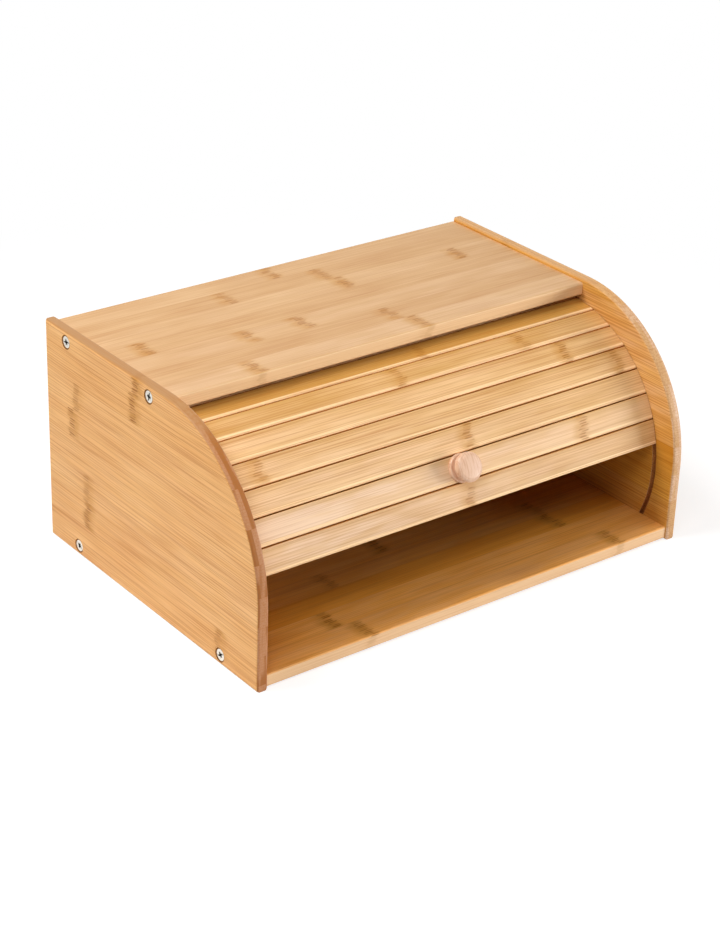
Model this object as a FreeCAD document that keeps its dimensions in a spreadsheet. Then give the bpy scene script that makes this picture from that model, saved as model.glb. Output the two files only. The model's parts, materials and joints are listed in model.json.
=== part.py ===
"""Bamboo bread box with a roll-top (tambour) door, as separate wooden and metal pieces.

Frame: X runs along the width, Y from the front (-Y) to the back, Z up from the table.
The origin is under the middle of the box, on the surface that it stands on.

The door is a curtain of slats glued to a canvas. A tongue at each end of every slat runs
in a groove that is routed into the inner face of each side panel. The groove is one
circle, so the whole curtain swings about the circle's centre.
"""
import FreeCAD, Part
import Sketcher
import math
import os
import re

# Millimetres, and degrees for the angles. Angles on the track are measured about its centre,
# from straight ahead (0) over the top (90) to straight back (180).
SIZES = {
    # the case as a whole
    "box_width": 390,
    "box_depth": 270,
    "box_height": 176,
    # side panels: vertical in front, then a quarter circle up to the straight top
    "side_thickness": 9,
    "front_curve_radius": 115,
    "side_edge_chamfer": 1.2,
    # top board, set between the side panels and a little below their top edges
    "top_board_thickness": 10,
    "top_board_drop": 3,
    "top_board_setback": 113.3,
    "top_board_round": 1.6,
    # bottom board, set between the side panels and just clear of the table
    "bottom_board_thickness": 10,
    "bottom_board_lift": 1,
    "bottom_board_setback": 1.5,
    "bottom_board_chamfer": 1,
    # both boards stop this far short of the back edge of the sides
    "board_back_inset": 0.5,
    # back panel, held in grooves in the sides and both boards
    "back_panel_thickness": 5,
    "back_panel_inset": 4,
    "back_groove_depth": 4.5,
    "back_groove_play": 0.2,
    # the track: a circular groove in the inner face of each side
    "track_depth": 5,
    "track_play": 0.4,
    "track_end_margin": 2,
    # the slats; their outer faces touch one circle, which clears the top board and stands
    # behind the front edges of the sides
    "slat_count": 11,
    "slat_face_radius": 107.3,
    "slat_top_gap": 3.7,
    "slat_front_inset": 17.5,
    "slat_width": 18.7,
    "slat_gap": 0.46,
    "slat_thickness": 5,
    "slat_edge_round": 2.2,
    "slat_end_play": 0.5,
    "tongue_thickness": 3,
    "tongue_width": 15,
    "tongue_reach": 4.4,
    # where the door stands: middle of the lowest slat, and how far it still rolls open
    "rest_angle": 17.1,
    "opening_travel": 50.5,
    # canvas glued to the inner faces of the slats
    "canvas_thickness": 0.7,
    "canvas_end_margin": 12,
    # turned knob on the outer face of one slat
    "knob_slat": 2,
    "knob_base_radius": 10,
    "knob_base_height": 3,
    "knob_neck_radius": 6.4,
    "knob_neck_end": 7,
    "knob_head_radius": 10.5,
    "knob_head_bulge": 0.7,
    "knob_head_end": 12,
    # screw that holds the knob from inside the door
    "knob_screw_radius": 1.75,
    "knob_screw_length": 15,
    "knob_screw_head_radius": 3.6,
    "knob_screw_head_height": 2.2,
    "knob_hole_play": 0.4,
    # countersunk wood screws through the sides into the ends of the boards
    "side_screw_radius": 2,
    "side_screw_length": 35,
    "side_screw_head_radius": 4.4,
    "side_screw_sink": 0.5,
    "countersink_angle": 90,
    "screw_hole_play": 0.15,
    "pilot_play": 0.05,
    "pilot_spare": 1,
    "top_screw_front_inset": 18.8,
    "top_screw_back_inset": 29,
    "bottom_screw_front_inset": 43,
    "bottom_screw_back_inset": 40.2,
    "bottom_screw_offset": 1.5,
}

doc = FreeCAD.newDocument("bread_box")
sheet = doc.addObject("Spreadsheet::Sheet", "Sizes")
for row, (alias, number) in enumerate(SIZES.items(), start=1):
    sheet.set(f"A{row}", alias)
    sheet.set(f"B{row}", str(number))
    sheet.setAlias(f"B{row}", alias)
doc.recompute()

# Formulas that several pieces share. A word with an underscore is a cell of the sheet.
INNER = "(box_width / 2 - side_thickness)"
FRONT = "(-box_depth / 2)"
BACK = "(box_depth / 2)"
BOARD_BACK = f"({BACK} - board_back_inset)"
TOP_BOARD_TOP = "(box_height - top_board_drop)"
TOP_BOARD_UNDER = f"({TOP_BOARD_TOP} - top_board_thickness)"
TOP_BOARD_FRONT = f"({FRONT} + top_board_setback)"
BOTTOM_BOARD_TOP = "(bottom_board_lift + bottom_board_thickness)"
BOTTOM_BOARD_FRONT = f"({FRONT} + bottom_board_setback)"

PANEL_BACK = f"({BOARD_BACK} - back_panel_inset)"
PANEL_FRONT = f"({PANEL_BACK} - back_panel_thickness)"
PANEL_FOOT = f"({BOTTOM_BOARD_TOP} - back_groove_depth)"
PANEL_HEAD = f"({TOP_BOARD_UNDER} + back_groove_depth - back_groove_play)"
GROOVE_BACK = f"({PANEL_BACK} + back_groove_play)"
GROOVE_FRONT = f"({PANEL_FRONT} - back_groove_play)"

TRACK_Y = f"({FRONT} + slat_front_inset + slat_face_radius)"
TRACK_Z = f"({TOP_BOARD_UNDER} - slat_top_gap - slat_face_radius)"
SLAT_INNER = "(slat_face_radius - slat_thickness)"
# neighbouring slats come nearest at their inner faces
SLAT_PITCH = f"(2 * atan((slat_width + slat_gap) / 2 / {SLAT_INNER}) / 1 deg)"
TONGUE_OUTER = "(slat_face_radius - slat_thickness / 2 + tongue_thickness / 2)"
TONGUE_INNER = "(slat_face_radius - slat_thickness / 2 - tongue_thickness / 2)"
# the corners of a flat tongue stand further out than its middle
TRACK_OUTER = f"(sqrt({TONGUE_OUTER} ^ 2 + (tongue_width / 2) ^ 2) + track_play)"
TRACK_INNER = f"({TONGUE_INNER} - track_play)"
TRACK_MIDDLE = f"(({TRACK_OUTER} + {TRACK_INNER}) / 2)"
# in front the track runs down behind the end of the bottom board; behind it ends just past
# the place that the last slat reaches when the door is fully open
TRACK_FOOT = "(bottom_board_lift + bottom_board_thickness / 2)"
TRACK_END = (
    f"(rest_angle + (slat_count - 0.5) * {SLAT_PITCH} + opening_travel + track_end_margin)"
)

# how fast a countersunk head's cone widens along the screw
CONE_SLOPE = "tan(countersink_angle / 2)"

# The screws of each board, in the plane of a side panel: height, front screw, back screw.
SCREW_LINES = {
    "top": (
        f"({TOP_BOARD_UNDER} + top_board_thickness / 2)",
        f"({TOP_BOARD_FRONT} + top_screw_front_inset)",
        f"({BACK} - top_screw_back_inset)",
    ),
    "bottom": (
        "(bottom_board_lift + bottom_board_thickness / 2 + bottom_screw_offset)",
        f"({BOTTOM_BOARD_FRONT} + bottom_screw_front_inset)",
        f"({BACK} - bottom_screw_back_inset)",
    ),
}
SIDES = {"left": -1, "right": 1}


def cells(formula):
    """The formula with every size written as a reference to its cell."""
    return re.sub(r"[a-z]+(?:_[a-z]+)+", r"Sizes.\g<0>", formula)


def value(formula):
    """What a formula is worth now, as a plain number."""
    return float(sheet.evalExpression(cells(formula)))


def bind(thing, name, formula):
    """Tie one property of an object to a formula."""
    thing.setExpression(name, cells(formula))


def new_body(label):
    """An empty body with its own label."""
    body = doc.addObject("PartDesign::Body", label)
    body.Label = label
    return body


def new_sketch(body, name, role="YZ_Plane", offset=None):
    """A sketch on one of the body's own origin planes, moved along its normal by a formula."""
    sketch = body.newObject("Sketcher::SketchObject", name)
    plane = next(p for p in body.Origin.OriginFeatures if p.Role == role)
    sketch.AttachmentSupport = [(plane, "")]
    sketch.MapMode = "FlatFace"
    if offset:
        bind(sketch, "AttachmentOffset.Base.z", offset)
    return sketch


def dimension(sketch, kind, geometry, formula):
    """A driving dimension whose value is a formula."""
    index = sketch.addConstraint(Sketcher.Constraint(kind, *geometry, value(formula)))
    bind(sketch, f"Constraints[{index}]", formula)


def place_point(sketch, piece, end, x, y):
    """Fix one point of a line or an arc by its two distances from the sketch's origin."""
    dimension(sketch, "DistanceX", (-1, 1, piece, end), x)
    dimension(sketch, "DistanceY", (-1, 1, piece, end), y)


def outline(sketch, corners, arc_centres=None):
    """A closed outline through the corners, each a pair of formulas.

    arc_centres gives, for each side that is an arc, the centre of that arc. The arc takes
    the short way round and is fixed by its ends and one coordinate of its centre.
    """
    arc_centres = arc_centres or {}
    points = [FreeCAD.Vector(value(x), value(y), 0) for x, y in corners]
    starts = []
    for side, start in enumerate(points):
        end = points[(side + 1) % len(points)]
        if side not in arc_centres:
            sketch.addGeometry(Part.LineSegment(start, end), False)
            starts.append(1)
            continue
        centre_x, centre_y = arc_centres[side]
        centre = FreeCAD.Vector(value(centre_x), value(centre_y), 0)
        turn_left = (start - centre).cross(end - centre).z > 0
        first, last = (start, end) if turn_left else (end, start)
        angles = [math.atan2((p - centre).y, (p - centre).x) for p in (first, last)]
        circle = Part.Circle(centre, FreeCAD.Vector(0, 0, 1), (first - centre).Length)
        sketch.addGeometry(Part.ArcOfCircle(circle, *angles), False)
        starts.append(1 if turn_left else 2)
    for side, start in enumerate(starts):
        following = (side + 1) % len(starts)
        sketch.addConstraint(
            Sketcher.Constraint("Coincident", side, 3 - start, following, starts[following])
        )
        place_point(sketch, side, start, *corners[side])
    for side, (centre_x, centre_y) in arc_centres.items():
        chord = points[(side + 1) % len(points)] - points[side]
        if abs(chord.y) >= abs(chord.x):
            dimension(sketch, "DistanceX", (-1, 1, side, 3), centre_x)
        else:
            dimension(sketch, "DistanceY", (-1, 1, side, 3), centre_y)


def rectangle(sketch, left, right, low, high):
    """A rectangle between four formulas."""
    outline(sketch, [(left, low), (right, low), (right, high), (left, high)])


def circles(sketch, centres, radius):
    """Equal circles at the given pairs of formulas."""
    for index, (x, y) in enumerate(centres):
        centre = FreeCAD.Vector(value(x), value(y), 0)
        sketch.addGeometry(Part.Circle(centre, FreeCAD.Vector(0, 0, 1), value(radius)), False)
        place_point(sketch, index, 3, x, y)
        dimension(sketch, "Radius", (index,), radius)


def pad(body, sketch, name, length, symmetric=False, reverse=False):
    """Pad a sketch by a formula, on one side or half to each side."""
    feature = body.newObject("PartDesign::Pad", name)
    feature.Profile = sketch
    feature.SideType = "Symmetric" if symmetric else "One side"
    feature.Reversed = reverse
    bind(feature, "Length", length)
    return feature


def must_shrink(feature):
    """A cut that points away from the solid removes nothing and shows no error."""
    doc.recompute()
    before = feature.BaseFeature.Shape.Volume
    if not feature.Shape.Volume < before - 1e-3:
        raise RuntimeError(f"{feature.Name} removes nothing")


def pocket(body, sketch, name, depth=None, reverse=False):
    """Cut a sketch to a depth, or right through both ways where no depth is given."""
    feature = body.newObject("PartDesign::Pocket", name)
    feature.Profile = sketch
    if depth:
        feature.Reversed = reverse
        bind(feature, "Length", depth)
    else:
        feature.SideType = "Symmetric"
        feature.Type = "ThroughAll"
    must_shrink(feature)
    return feature


def revolve(body, sketch, name, axis):
    """A full turn of a sketch about one of its own axes."""
    feature = body.newObject("PartDesign::Revolution", name)
    feature.Profile = sketch
    feature.ReferenceAxis = (sketch, [axis])
    feature.Angle = 360
    return feature


def soften(body, base, name, kind, size, wanted):
    """A Fillet or a Chamfer on those edges of the base feature that wanted() picks."""
    doc.recompute()
    names = [f"Edge{i}" for i, edge in enumerate(base.Shape.Edges, start=1) if wanted(edge)]
    if not names:
        raise RuntimeError(f"{name} finds no edge to soften")
    feature = body.newObject(f"PartDesign::{kind}", name)
    feature.Base = (base, names)
    bind(feature, {"Fillet": "Radius", "Chamfer": "Size"}[kind], size)
    body.Tip = feature


def along_x(edge):
    """Whether an edge is a straight one that runs along X."""
    box = edge.BoundBox
    return box.XLength > 1 and max(box.YLength, box.ZLength) < 1e-6


def track_slot(sketch):
    """The track's outline: two arcs about the track's centre, with round ends."""
    centre = FreeCAD.Vector(value(TRACK_Y), value(TRACK_Z), 0)
    outer, inner, middle = (value(r) for r in (TRACK_OUTER, TRACK_INNER, TRACK_MIDDLE))
    foot = f"asin(({TRACK_FOOT} - {TRACK_Z}) / {TRACK_MIDDLE})"
    # the sketch counts its angles from the back, against the track's own
    behind = math.radians(180 - value(TRACK_END))
    before = math.radians(180 - value(foot))
    normal = FreeCAD.Vector(0, 0, 1)
    for radius in (outer, inner):
        circle = Part.Circle(centre, normal, radius)
        sketch.addGeometry(Part.ArcOfCircle(circle, behind, before), False)
    for angle, turn in ((behind, math.pi), (before, 0)):
        end = centre + FreeCAD.Vector(math.cos(angle), math.sin(angle), 0) * middle
        circle = Part.Circle(end, normal, (outer - inner) / 2)
        arc = Part.ArcOfCircle(circle, angle + turn, angle + turn + math.pi)
        sketch.addGeometry(arc, False)
    big, small, back_cap, front_cap = range(4)
    for joint in (
        (big, 1, back_cap, 2),
        (small, 1, back_cap, 1),
        (big, 2, front_cap, 1),
        (small, 2, front_cap, 2),
    ):
        sketch.addConstraint(Sketcher.Constraint("Tangent", *joint))
    sketch.addConstraint(Sketcher.Constraint("Coincident", big, 3, small, 3))
    place_point(sketch, big, 3, TRACK_Y, TRACK_Z)
    dimension(sketch, "Radius", (big,), TRACK_OUTER)
    dimension(sketch, "Radius", (small,), TRACK_INNER)
    dimension(sketch, "DistanceY", (-1, 1, front_cap, 3), TRACK_FOOT)
    end_height = f"{TRACK_Z} + {TRACK_MIDDLE} * sin({TRACK_END})"
    dimension(sketch, "DistanceY", (-1, 1, back_cap, 3), end_height)


def screw_spots(row):
    """The two screw centres of one board, as pairs of formulas."""
    height, front, back = SCREW_LINES[row]
    return [(front, height), (back, height)]


def make_side(side, outward):
    """A side panel: rounded outline, tambour track, back groove and countersunk holes."""
    body = new_body(f"side_{side}")
    bind(body, "Placement.Base.x", f"{outward} * box_width / 2")
    left = outward < 0
    inner_face = f"{-outward} * side_thickness"

    shape = new_sketch(body, f"{side}_outline")
    curve_end_y = f"({FRONT} + front_curve_radius)"
    curve_start_z = "(box_height - front_curve_radius)"
    corners = [
        (FRONT, "0"),
        (BACK, "0"),
        (BACK, "box_height"),
        (curve_end_y, "box_height"),
        (FRONT, curve_start_z),
    ]
    outline(shape, corners, {3: (curve_end_y, curve_start_z)})
    board = pad(body, shape, f"{side}_board", "side_thickness", reverse=not left)
    soften(
        body,
        board,
        f"{side}_soft_edges",
        "Chamfer",
        "side_edge_chamfer",
        lambda edge: not along_x(edge),
    )

    track = new_sketch(body, f"{side}_track_line", offset=inner_face)
    track_slot(track)
    pocket(body, track, f"{side}_track", "track_depth", reverse=not left)

    groove = new_sketch(body, f"{side}_back_groove_line", offset=inner_face)
    head = f"({PANEL_HEAD} + back_groove_play)"
    rectangle(groove, GROOVE_FRONT, GROOVE_BACK, PANEL_FOOT, head)
    pocket(body, groove, f"{side}_back_groove", "back_groove_depth", reverse=not left)

    marks = new_sketch(body, f"{side}_screw_marks")
    circles(marks, screw_spots("top") + screw_spots("bottom"), "side_screw_radius")
    doc.recompute()
    hole = body.newObject("PartDesign::Hole", f"{side}_screw_holes")
    hole.Profile = marks
    doc.recompute()
    hole.Reversed = left
    hole.DepthType = "ThroughAll"
    hole.HoleCutType = "Countersink"
    hole.HoleCutCustomValues = True
    bind(hole, "HoleCutCountersinkAngle", "countersink_angle")
    bind(hole, "Diameter", "2 * (side_screw_radius + screw_hole_play)")
    mouth_radius = f"(side_screw_head_radius + side_screw_sink * {CONE_SLOPE})"
    bind(hole, "HoleCutDiameter", f"2 * {mouth_radius}")
    must_shrink(hole)


def pilot_bores(body, row):
    """Bores in both ends of a board for the tips of the side screws."""
    depth = "(side_screw_length + side_screw_sink - side_thickness + pilot_spare)"
    for side, outward in SIDES.items():
        marks = new_sketch(body, f"{row}_{side}_pilot_marks", offset=f"{outward} * {INNER}")
        circles(marks, screw_spots(row), "(side_screw_radius + pilot_play)")
        pocket(body, marks, f"{row}_{side}_pilots", depth, reverse=outward < 0)


def make_board(row, front, low, high, kind, size, groove_low, groove_high):
    """A board between the sides, with a soft front edge, a back groove and pilot bores."""
    body = new_body(f"{row}_board")
    section = new_sketch(body, f"{row}_section")
    rectangle(section, front, BOARD_BACK, low, high)
    plank = pad(body, section, f"{row}_plank", f"2 * {INNER}", symmetric=True)
    front_y = value(front)
    soften(
        body,
        plank,
        f"{row}_soft_front",
        kind,
        size,
        lambda edge: along_x(edge) and abs(edge.CenterOfMass.y - front_y) < 1e-6,
    )
    groove = new_sketch(body, f"{row}_groove_line")
    rectangle(groove, GROOVE_FRONT, GROOVE_BACK, groove_low, groove_high)
    pocket(body, groove, f"{row}_groove")
    pilot_bores(body, row)


def make_back_panel():
    """The back: a thin panel that reaches into all four grooves."""
    body = new_body("back_panel")
    section = new_sketch(body, "back_section")
    rectangle(section, PANEL_FRONT, PANEL_BACK, PANEL_FOOT, PANEL_HEAD)
    reach = f"2 * ({INNER} + back_groove_depth - back_groove_play)"
    pad(body, section, "back_sheet", reach, symmetric=True)


def hang_on_track(body, slat):
    """Stand a body, drawn at angle 0 about the track's centre, at the place of a slat."""
    turn = FreeCAD.Rotation(FreeCAD.Vector(-1, 0, 0), value(slat_angle(slat)))
    body.Placement = FreeCAD.Placement(FreeCAD.Vector(), turn)
    bind(body, "Placement.Base.y", TRACK_Y)
    bind(body, "Placement.Base.z", TRACK_Z)
    bind(body, "Placement.Rotation.Angle", slat_angle(slat))


def slat_angle(slat):
    """The angle of the middle of a slat on the track; slat 1 is the lowest."""
    return f"(rest_angle + ({slat} - 1) * {SLAT_PITCH})"


def screw_hole(body, name):
    """A hole for the knob's screw, straight through a piece at angle 0."""
    mark = new_sketch(body, f"{name}_mark", "XZ_Plane")
    circles(mark, [("0", "0")], "(knob_screw_radius + knob_hole_play)")
    pocket(body, mark, name)


def make_slat(slat):
    """A flat slat with soft outer edges and a thin tongue at each end."""
    label = f"slat_{slat:02d}"
    body = new_body(label)
    half_tongue, half_slat = "tongue_width / 2", "slat_width / 2"
    thin = new_sketch(body, f"{label}_tongue_section")
    rectangle(thin, f"-{TONGUE_OUTER}", f"-{TONGUE_INNER}", f"-{half_tongue}", half_tongue)
    tongue_span = f"2 * ({INNER} + tongue_reach)"
    pad(body, thin, f"{label}_tongues", tongue_span, symmetric=True)
    section = new_sketch(body, f"{label}_section")
    rectangle(section, "-slat_face_radius", f"-{SLAT_INNER}", f"-{half_slat}", half_slat)
    slat_span = f"2 * ({INNER} - slat_end_play)"
    strip = pad(body, section, f"{label}_strip", slat_span, symmetric=True)
    face = -value("slat_face_radius")
    soften(
        body,
        strip,
        f"{label}_soft_edges",
        "Fillet",
        "slat_edge_round",
        lambda edge: along_x(edge) and abs(edge.CenterOfMass.y - face) < 1e-6,
    )
    if slat == SIZES["knob_slat"]:
        screw_hole(body, f"{label}_screw_hole")
    hang_on_track(body, slat)


def make_canvas():
    """The canvas: one flat facet behind each slat, folded between the slats."""
    body = new_body("tambour_canvas")
    count = SIZES["slat_count"]
    folds = [
        f"(({fold} - knob_slat + 0.5) * {SLAT_PITCH})" for fold in range(count + 1)
    ]
    corners = []
    for radius, order in (
        (SLAT_INNER, folds),
        (f"({SLAT_INNER} - canvas_thickness)", folds[::-1]),
    ):
        reach = f"{radius} / cos({SLAT_PITCH} / 2)"
        corners += [(f"-{reach} * cos{angle}", f"{reach} * sin{angle}") for angle in order]
    section = new_sketch(body, "canvas_section")
    outline(section, corners)
    pad(body, section, "canvas_cloth", f"2 * ({INNER} - canvas_end_margin)", symmetric=True)
    screw_hole(body, "canvas_screw_hole")
    hang_on_track(body, SIZES["knob_slat"])


def from_face(height):
    """The Y of a point at a height above the outer face of the slat at angle 0."""
    return f"-(slat_face_radius + {height})"


def make_knob():
    """A turned knob: a thin flange, a narrow neck and a thick head with a bulging rim."""
    body = new_body("knob")
    bore = "(knob_screw_radius + pilot_play)"
    bore_end = "(knob_screw_length - slat_thickness - canvas_thickness + pilot_spare)"
    # the rim is an arc over a chord, so its radius follows from the chord and the bulge
    rim = "(knob_head_radius - knob_head_bulge)"
    half_head = "((knob_head_end - knob_neck_end) / 2)"
    rim_radius = f"(({half_head} ^ 2 + knob_head_bulge ^ 2) / (2 * knob_head_bulge))"
    turned = [
        (bore, "0"),
        ("knob_base_radius", "0"),
        ("knob_base_radius", "knob_base_height"),
        ("knob_neck_radius", "knob_base_height"),
        ("knob_neck_radius", "knob_neck_end"),
        (rim, "knob_neck_end"),
        (rim, "knob_head_end"),
        ("0", "knob_head_end"),
        ("0", bore_end),
        (bore, bore_end),
    ]
    rim_centre = (f"knob_head_radius - {rim_radius}", from_face(f"(knob_neck_end + {half_head})"))
    section = new_sketch(body, "knob_section", "XY_Plane")
    outline(
        section, [(radius, from_face(height)) for radius, height in turned], {5: rim_centre}
    )
    revolve(body, section, "knob_turning", "V_Axis")
    hang_on_track(body, SIZES["knob_slat"])


def make_knob_screw():
    """A pan-head screw from inside the door, through canvas and slat into the knob."""
    body = new_body("knob_screw")
    seat = "(-slat_thickness - canvas_thickness)"
    end = f"({seat} + knob_screw_length)"
    turned = [
        ("0", f"({seat} - knob_screw_head_height)"),
        ("knob_screw_head_radius", f"({seat} - knob_screw_head_height)"),
        ("knob_screw_head_radius", seat),
        ("knob_screw_radius", seat),
        ("knob_screw_radius", end),
        ("0", end),
    ]
    section = new_sketch(body, "knob_screw_section", "XY_Plane")
    outline(section, [(radius, from_face(height)) for radius, height in turned])
    revolve(body, section, "knob_screw_turning", "V_Axis")
    hang_on_track(body, SIZES["knob_slat"])


def make_side_screws(side, outward, row):
    """The two screws that hold one end of a board, as two solids."""
    body = new_body(f"side_screws_{side}_{row}")
    body.AllowCompound = True
    cone = f"(side_screw_head_radius - side_screw_radius) / {CONE_SLOPE}"
    head_end = f"(side_screw_sink + {cone})"
    turned = [
        ("side_screw_sink", "0"),
        ("side_screw_length + side_screw_sink", "0"),
        ("side_screw_length + side_screw_sink", "side_screw_radius"),
        (head_end, "side_screw_radius"),
        ("side_screw_sink", "side_screw_head_radius"),
    ]
    section = new_sketch(body, f"{side}_{row}_screw_section", "XY_Plane")
    outline(section, turned)
    screw = revolve(body, section, f"{side}_{row}_screw", "H_Axis")
    height, front, back = SCREW_LINES[row]
    pair = body.newObject("PartDesign::LinearPattern", f"{side}_{row}_pair")
    pair.Originals = [screw]
    pair.Direction = (section, ["V_Axis"])
    pair.Occurrences = 2
    bind(pair, "Length", f"{back} - {front}")
    body.Tip = pair
    # half a turn about Y points the right-hand screws inwards
    half_turns = 180 if outward > 0 else 0
    turn = FreeCAD.Rotation(FreeCAD.Vector(0, 1, 0), half_turns)
    body.Placement = FreeCAD.Placement(FreeCAD.Vector(), turn)
    bind(body, "Placement.Base.x", f"{outward} * box_width / 2")
    bind(body, "Placement.Base.y", front)
    bind(body, "Placement.Base.z", height)


for side, outward in SIDES.items():
    make_side(side, outward)
make_board(
    "top",
    TOP_BOARD_FRONT,
    TOP_BOARD_UNDER,
    TOP_BOARD_TOP,
    "Fillet",
    "top_board_round",
    TOP_BOARD_UNDER,
    f"({TOP_BOARD_UNDER} + back_groove_depth)",
)
make_board(
    "bottom",
    BOTTOM_BOARD_FRONT,
    "bottom_board_lift",
    BOTTOM_BOARD_TOP,
    "Chamfer",
    "bottom_board_chamfer",
    PANEL_FOOT,
    BOTTOM_BOARD_TOP,
)
make_back_panel()
for slat in range(1, SIZES["slat_count"] + 1):
    make_slat(slat)
make_canvas()
make_knob()
make_knob_screw()
for side, outward in SIDES.items():
    for row in SCREW_LINES:
        make_side_screws(side, outward, row)
doc.recompute()

for thing in doc.Objects:
    if "Invalid" in thing.State or "Error" in thing.State:
        raise RuntimeError(f"{thing.Name} failed: {thing.State}")
bodies = [thing for thing in doc.Objects if thing.isDerivedFrom("PartDesign::Body")]
for body in bodies:
    if body.Shape.isNull() or not body.Shape.isValid():
        raise RuntimeError(f"{body.Label} has no valid shape")

os.makedirs("parts", exist_ok=True)
for body in bodies:
    body.Shape.exportStep(f"parts/{body.Label}.step")
    print(f"{body.Label}: {len(body.Shape.Solids)} solids, {body.Shape.Volume:.1f} mm3")
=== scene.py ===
import json
import math
from functools import partial

import bmesh
import bpy
from mathutils import Matrix, Vector

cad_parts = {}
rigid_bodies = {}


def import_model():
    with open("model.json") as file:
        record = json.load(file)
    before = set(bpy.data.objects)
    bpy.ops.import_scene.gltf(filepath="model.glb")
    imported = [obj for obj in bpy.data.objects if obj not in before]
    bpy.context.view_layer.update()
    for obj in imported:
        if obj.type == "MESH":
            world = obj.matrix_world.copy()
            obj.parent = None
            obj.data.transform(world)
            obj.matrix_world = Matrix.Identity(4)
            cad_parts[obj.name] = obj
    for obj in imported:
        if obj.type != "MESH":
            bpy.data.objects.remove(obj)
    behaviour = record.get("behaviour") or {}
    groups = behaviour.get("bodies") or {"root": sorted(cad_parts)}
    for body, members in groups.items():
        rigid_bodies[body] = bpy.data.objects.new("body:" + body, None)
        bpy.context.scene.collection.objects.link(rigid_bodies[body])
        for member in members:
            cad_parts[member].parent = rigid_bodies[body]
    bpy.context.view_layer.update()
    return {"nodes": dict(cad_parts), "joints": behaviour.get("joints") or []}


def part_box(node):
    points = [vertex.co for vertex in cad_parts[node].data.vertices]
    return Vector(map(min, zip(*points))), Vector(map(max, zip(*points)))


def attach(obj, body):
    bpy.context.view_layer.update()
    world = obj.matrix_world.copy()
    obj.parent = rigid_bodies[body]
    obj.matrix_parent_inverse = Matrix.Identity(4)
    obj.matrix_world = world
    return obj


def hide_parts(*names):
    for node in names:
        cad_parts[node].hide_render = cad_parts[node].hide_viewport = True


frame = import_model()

bl_info = {
    "name": "Bamboo Bread Box",
    "version": (1, 0, 0),
    "blender": (4, 5, 0),
    "location": "View3D > Sidebar > Bread Box",
    "description": "Finishes the boards, roll-top door, knob and screws of a bread box",
    "category": "Object",
}

MM = 0.001
# two places that are closer than this are one
NEAR = 0.01 * MM
HINGE = frame["joints"][0]
TRACK = Vector(HINGE["pos_m"])
AXIS = Vector(HINGE["axis"])
CASE, DOOR = HINGE["parent"], HINGE["child"]
SLATS = sorted(name for name in frame["nodes"] if name.startswith("slat_"))
SCREW_SETS = sorted(name for name in frame["nodes"] if name.startswith("side_screws_"))
KNOB_SLAT = "slat_02"

# a cane joint lies no further than this from the middle of its lamella, in millimetres, and
# a place at that very distance means that there is none
FAR = 260
NONE = -FAR

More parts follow.
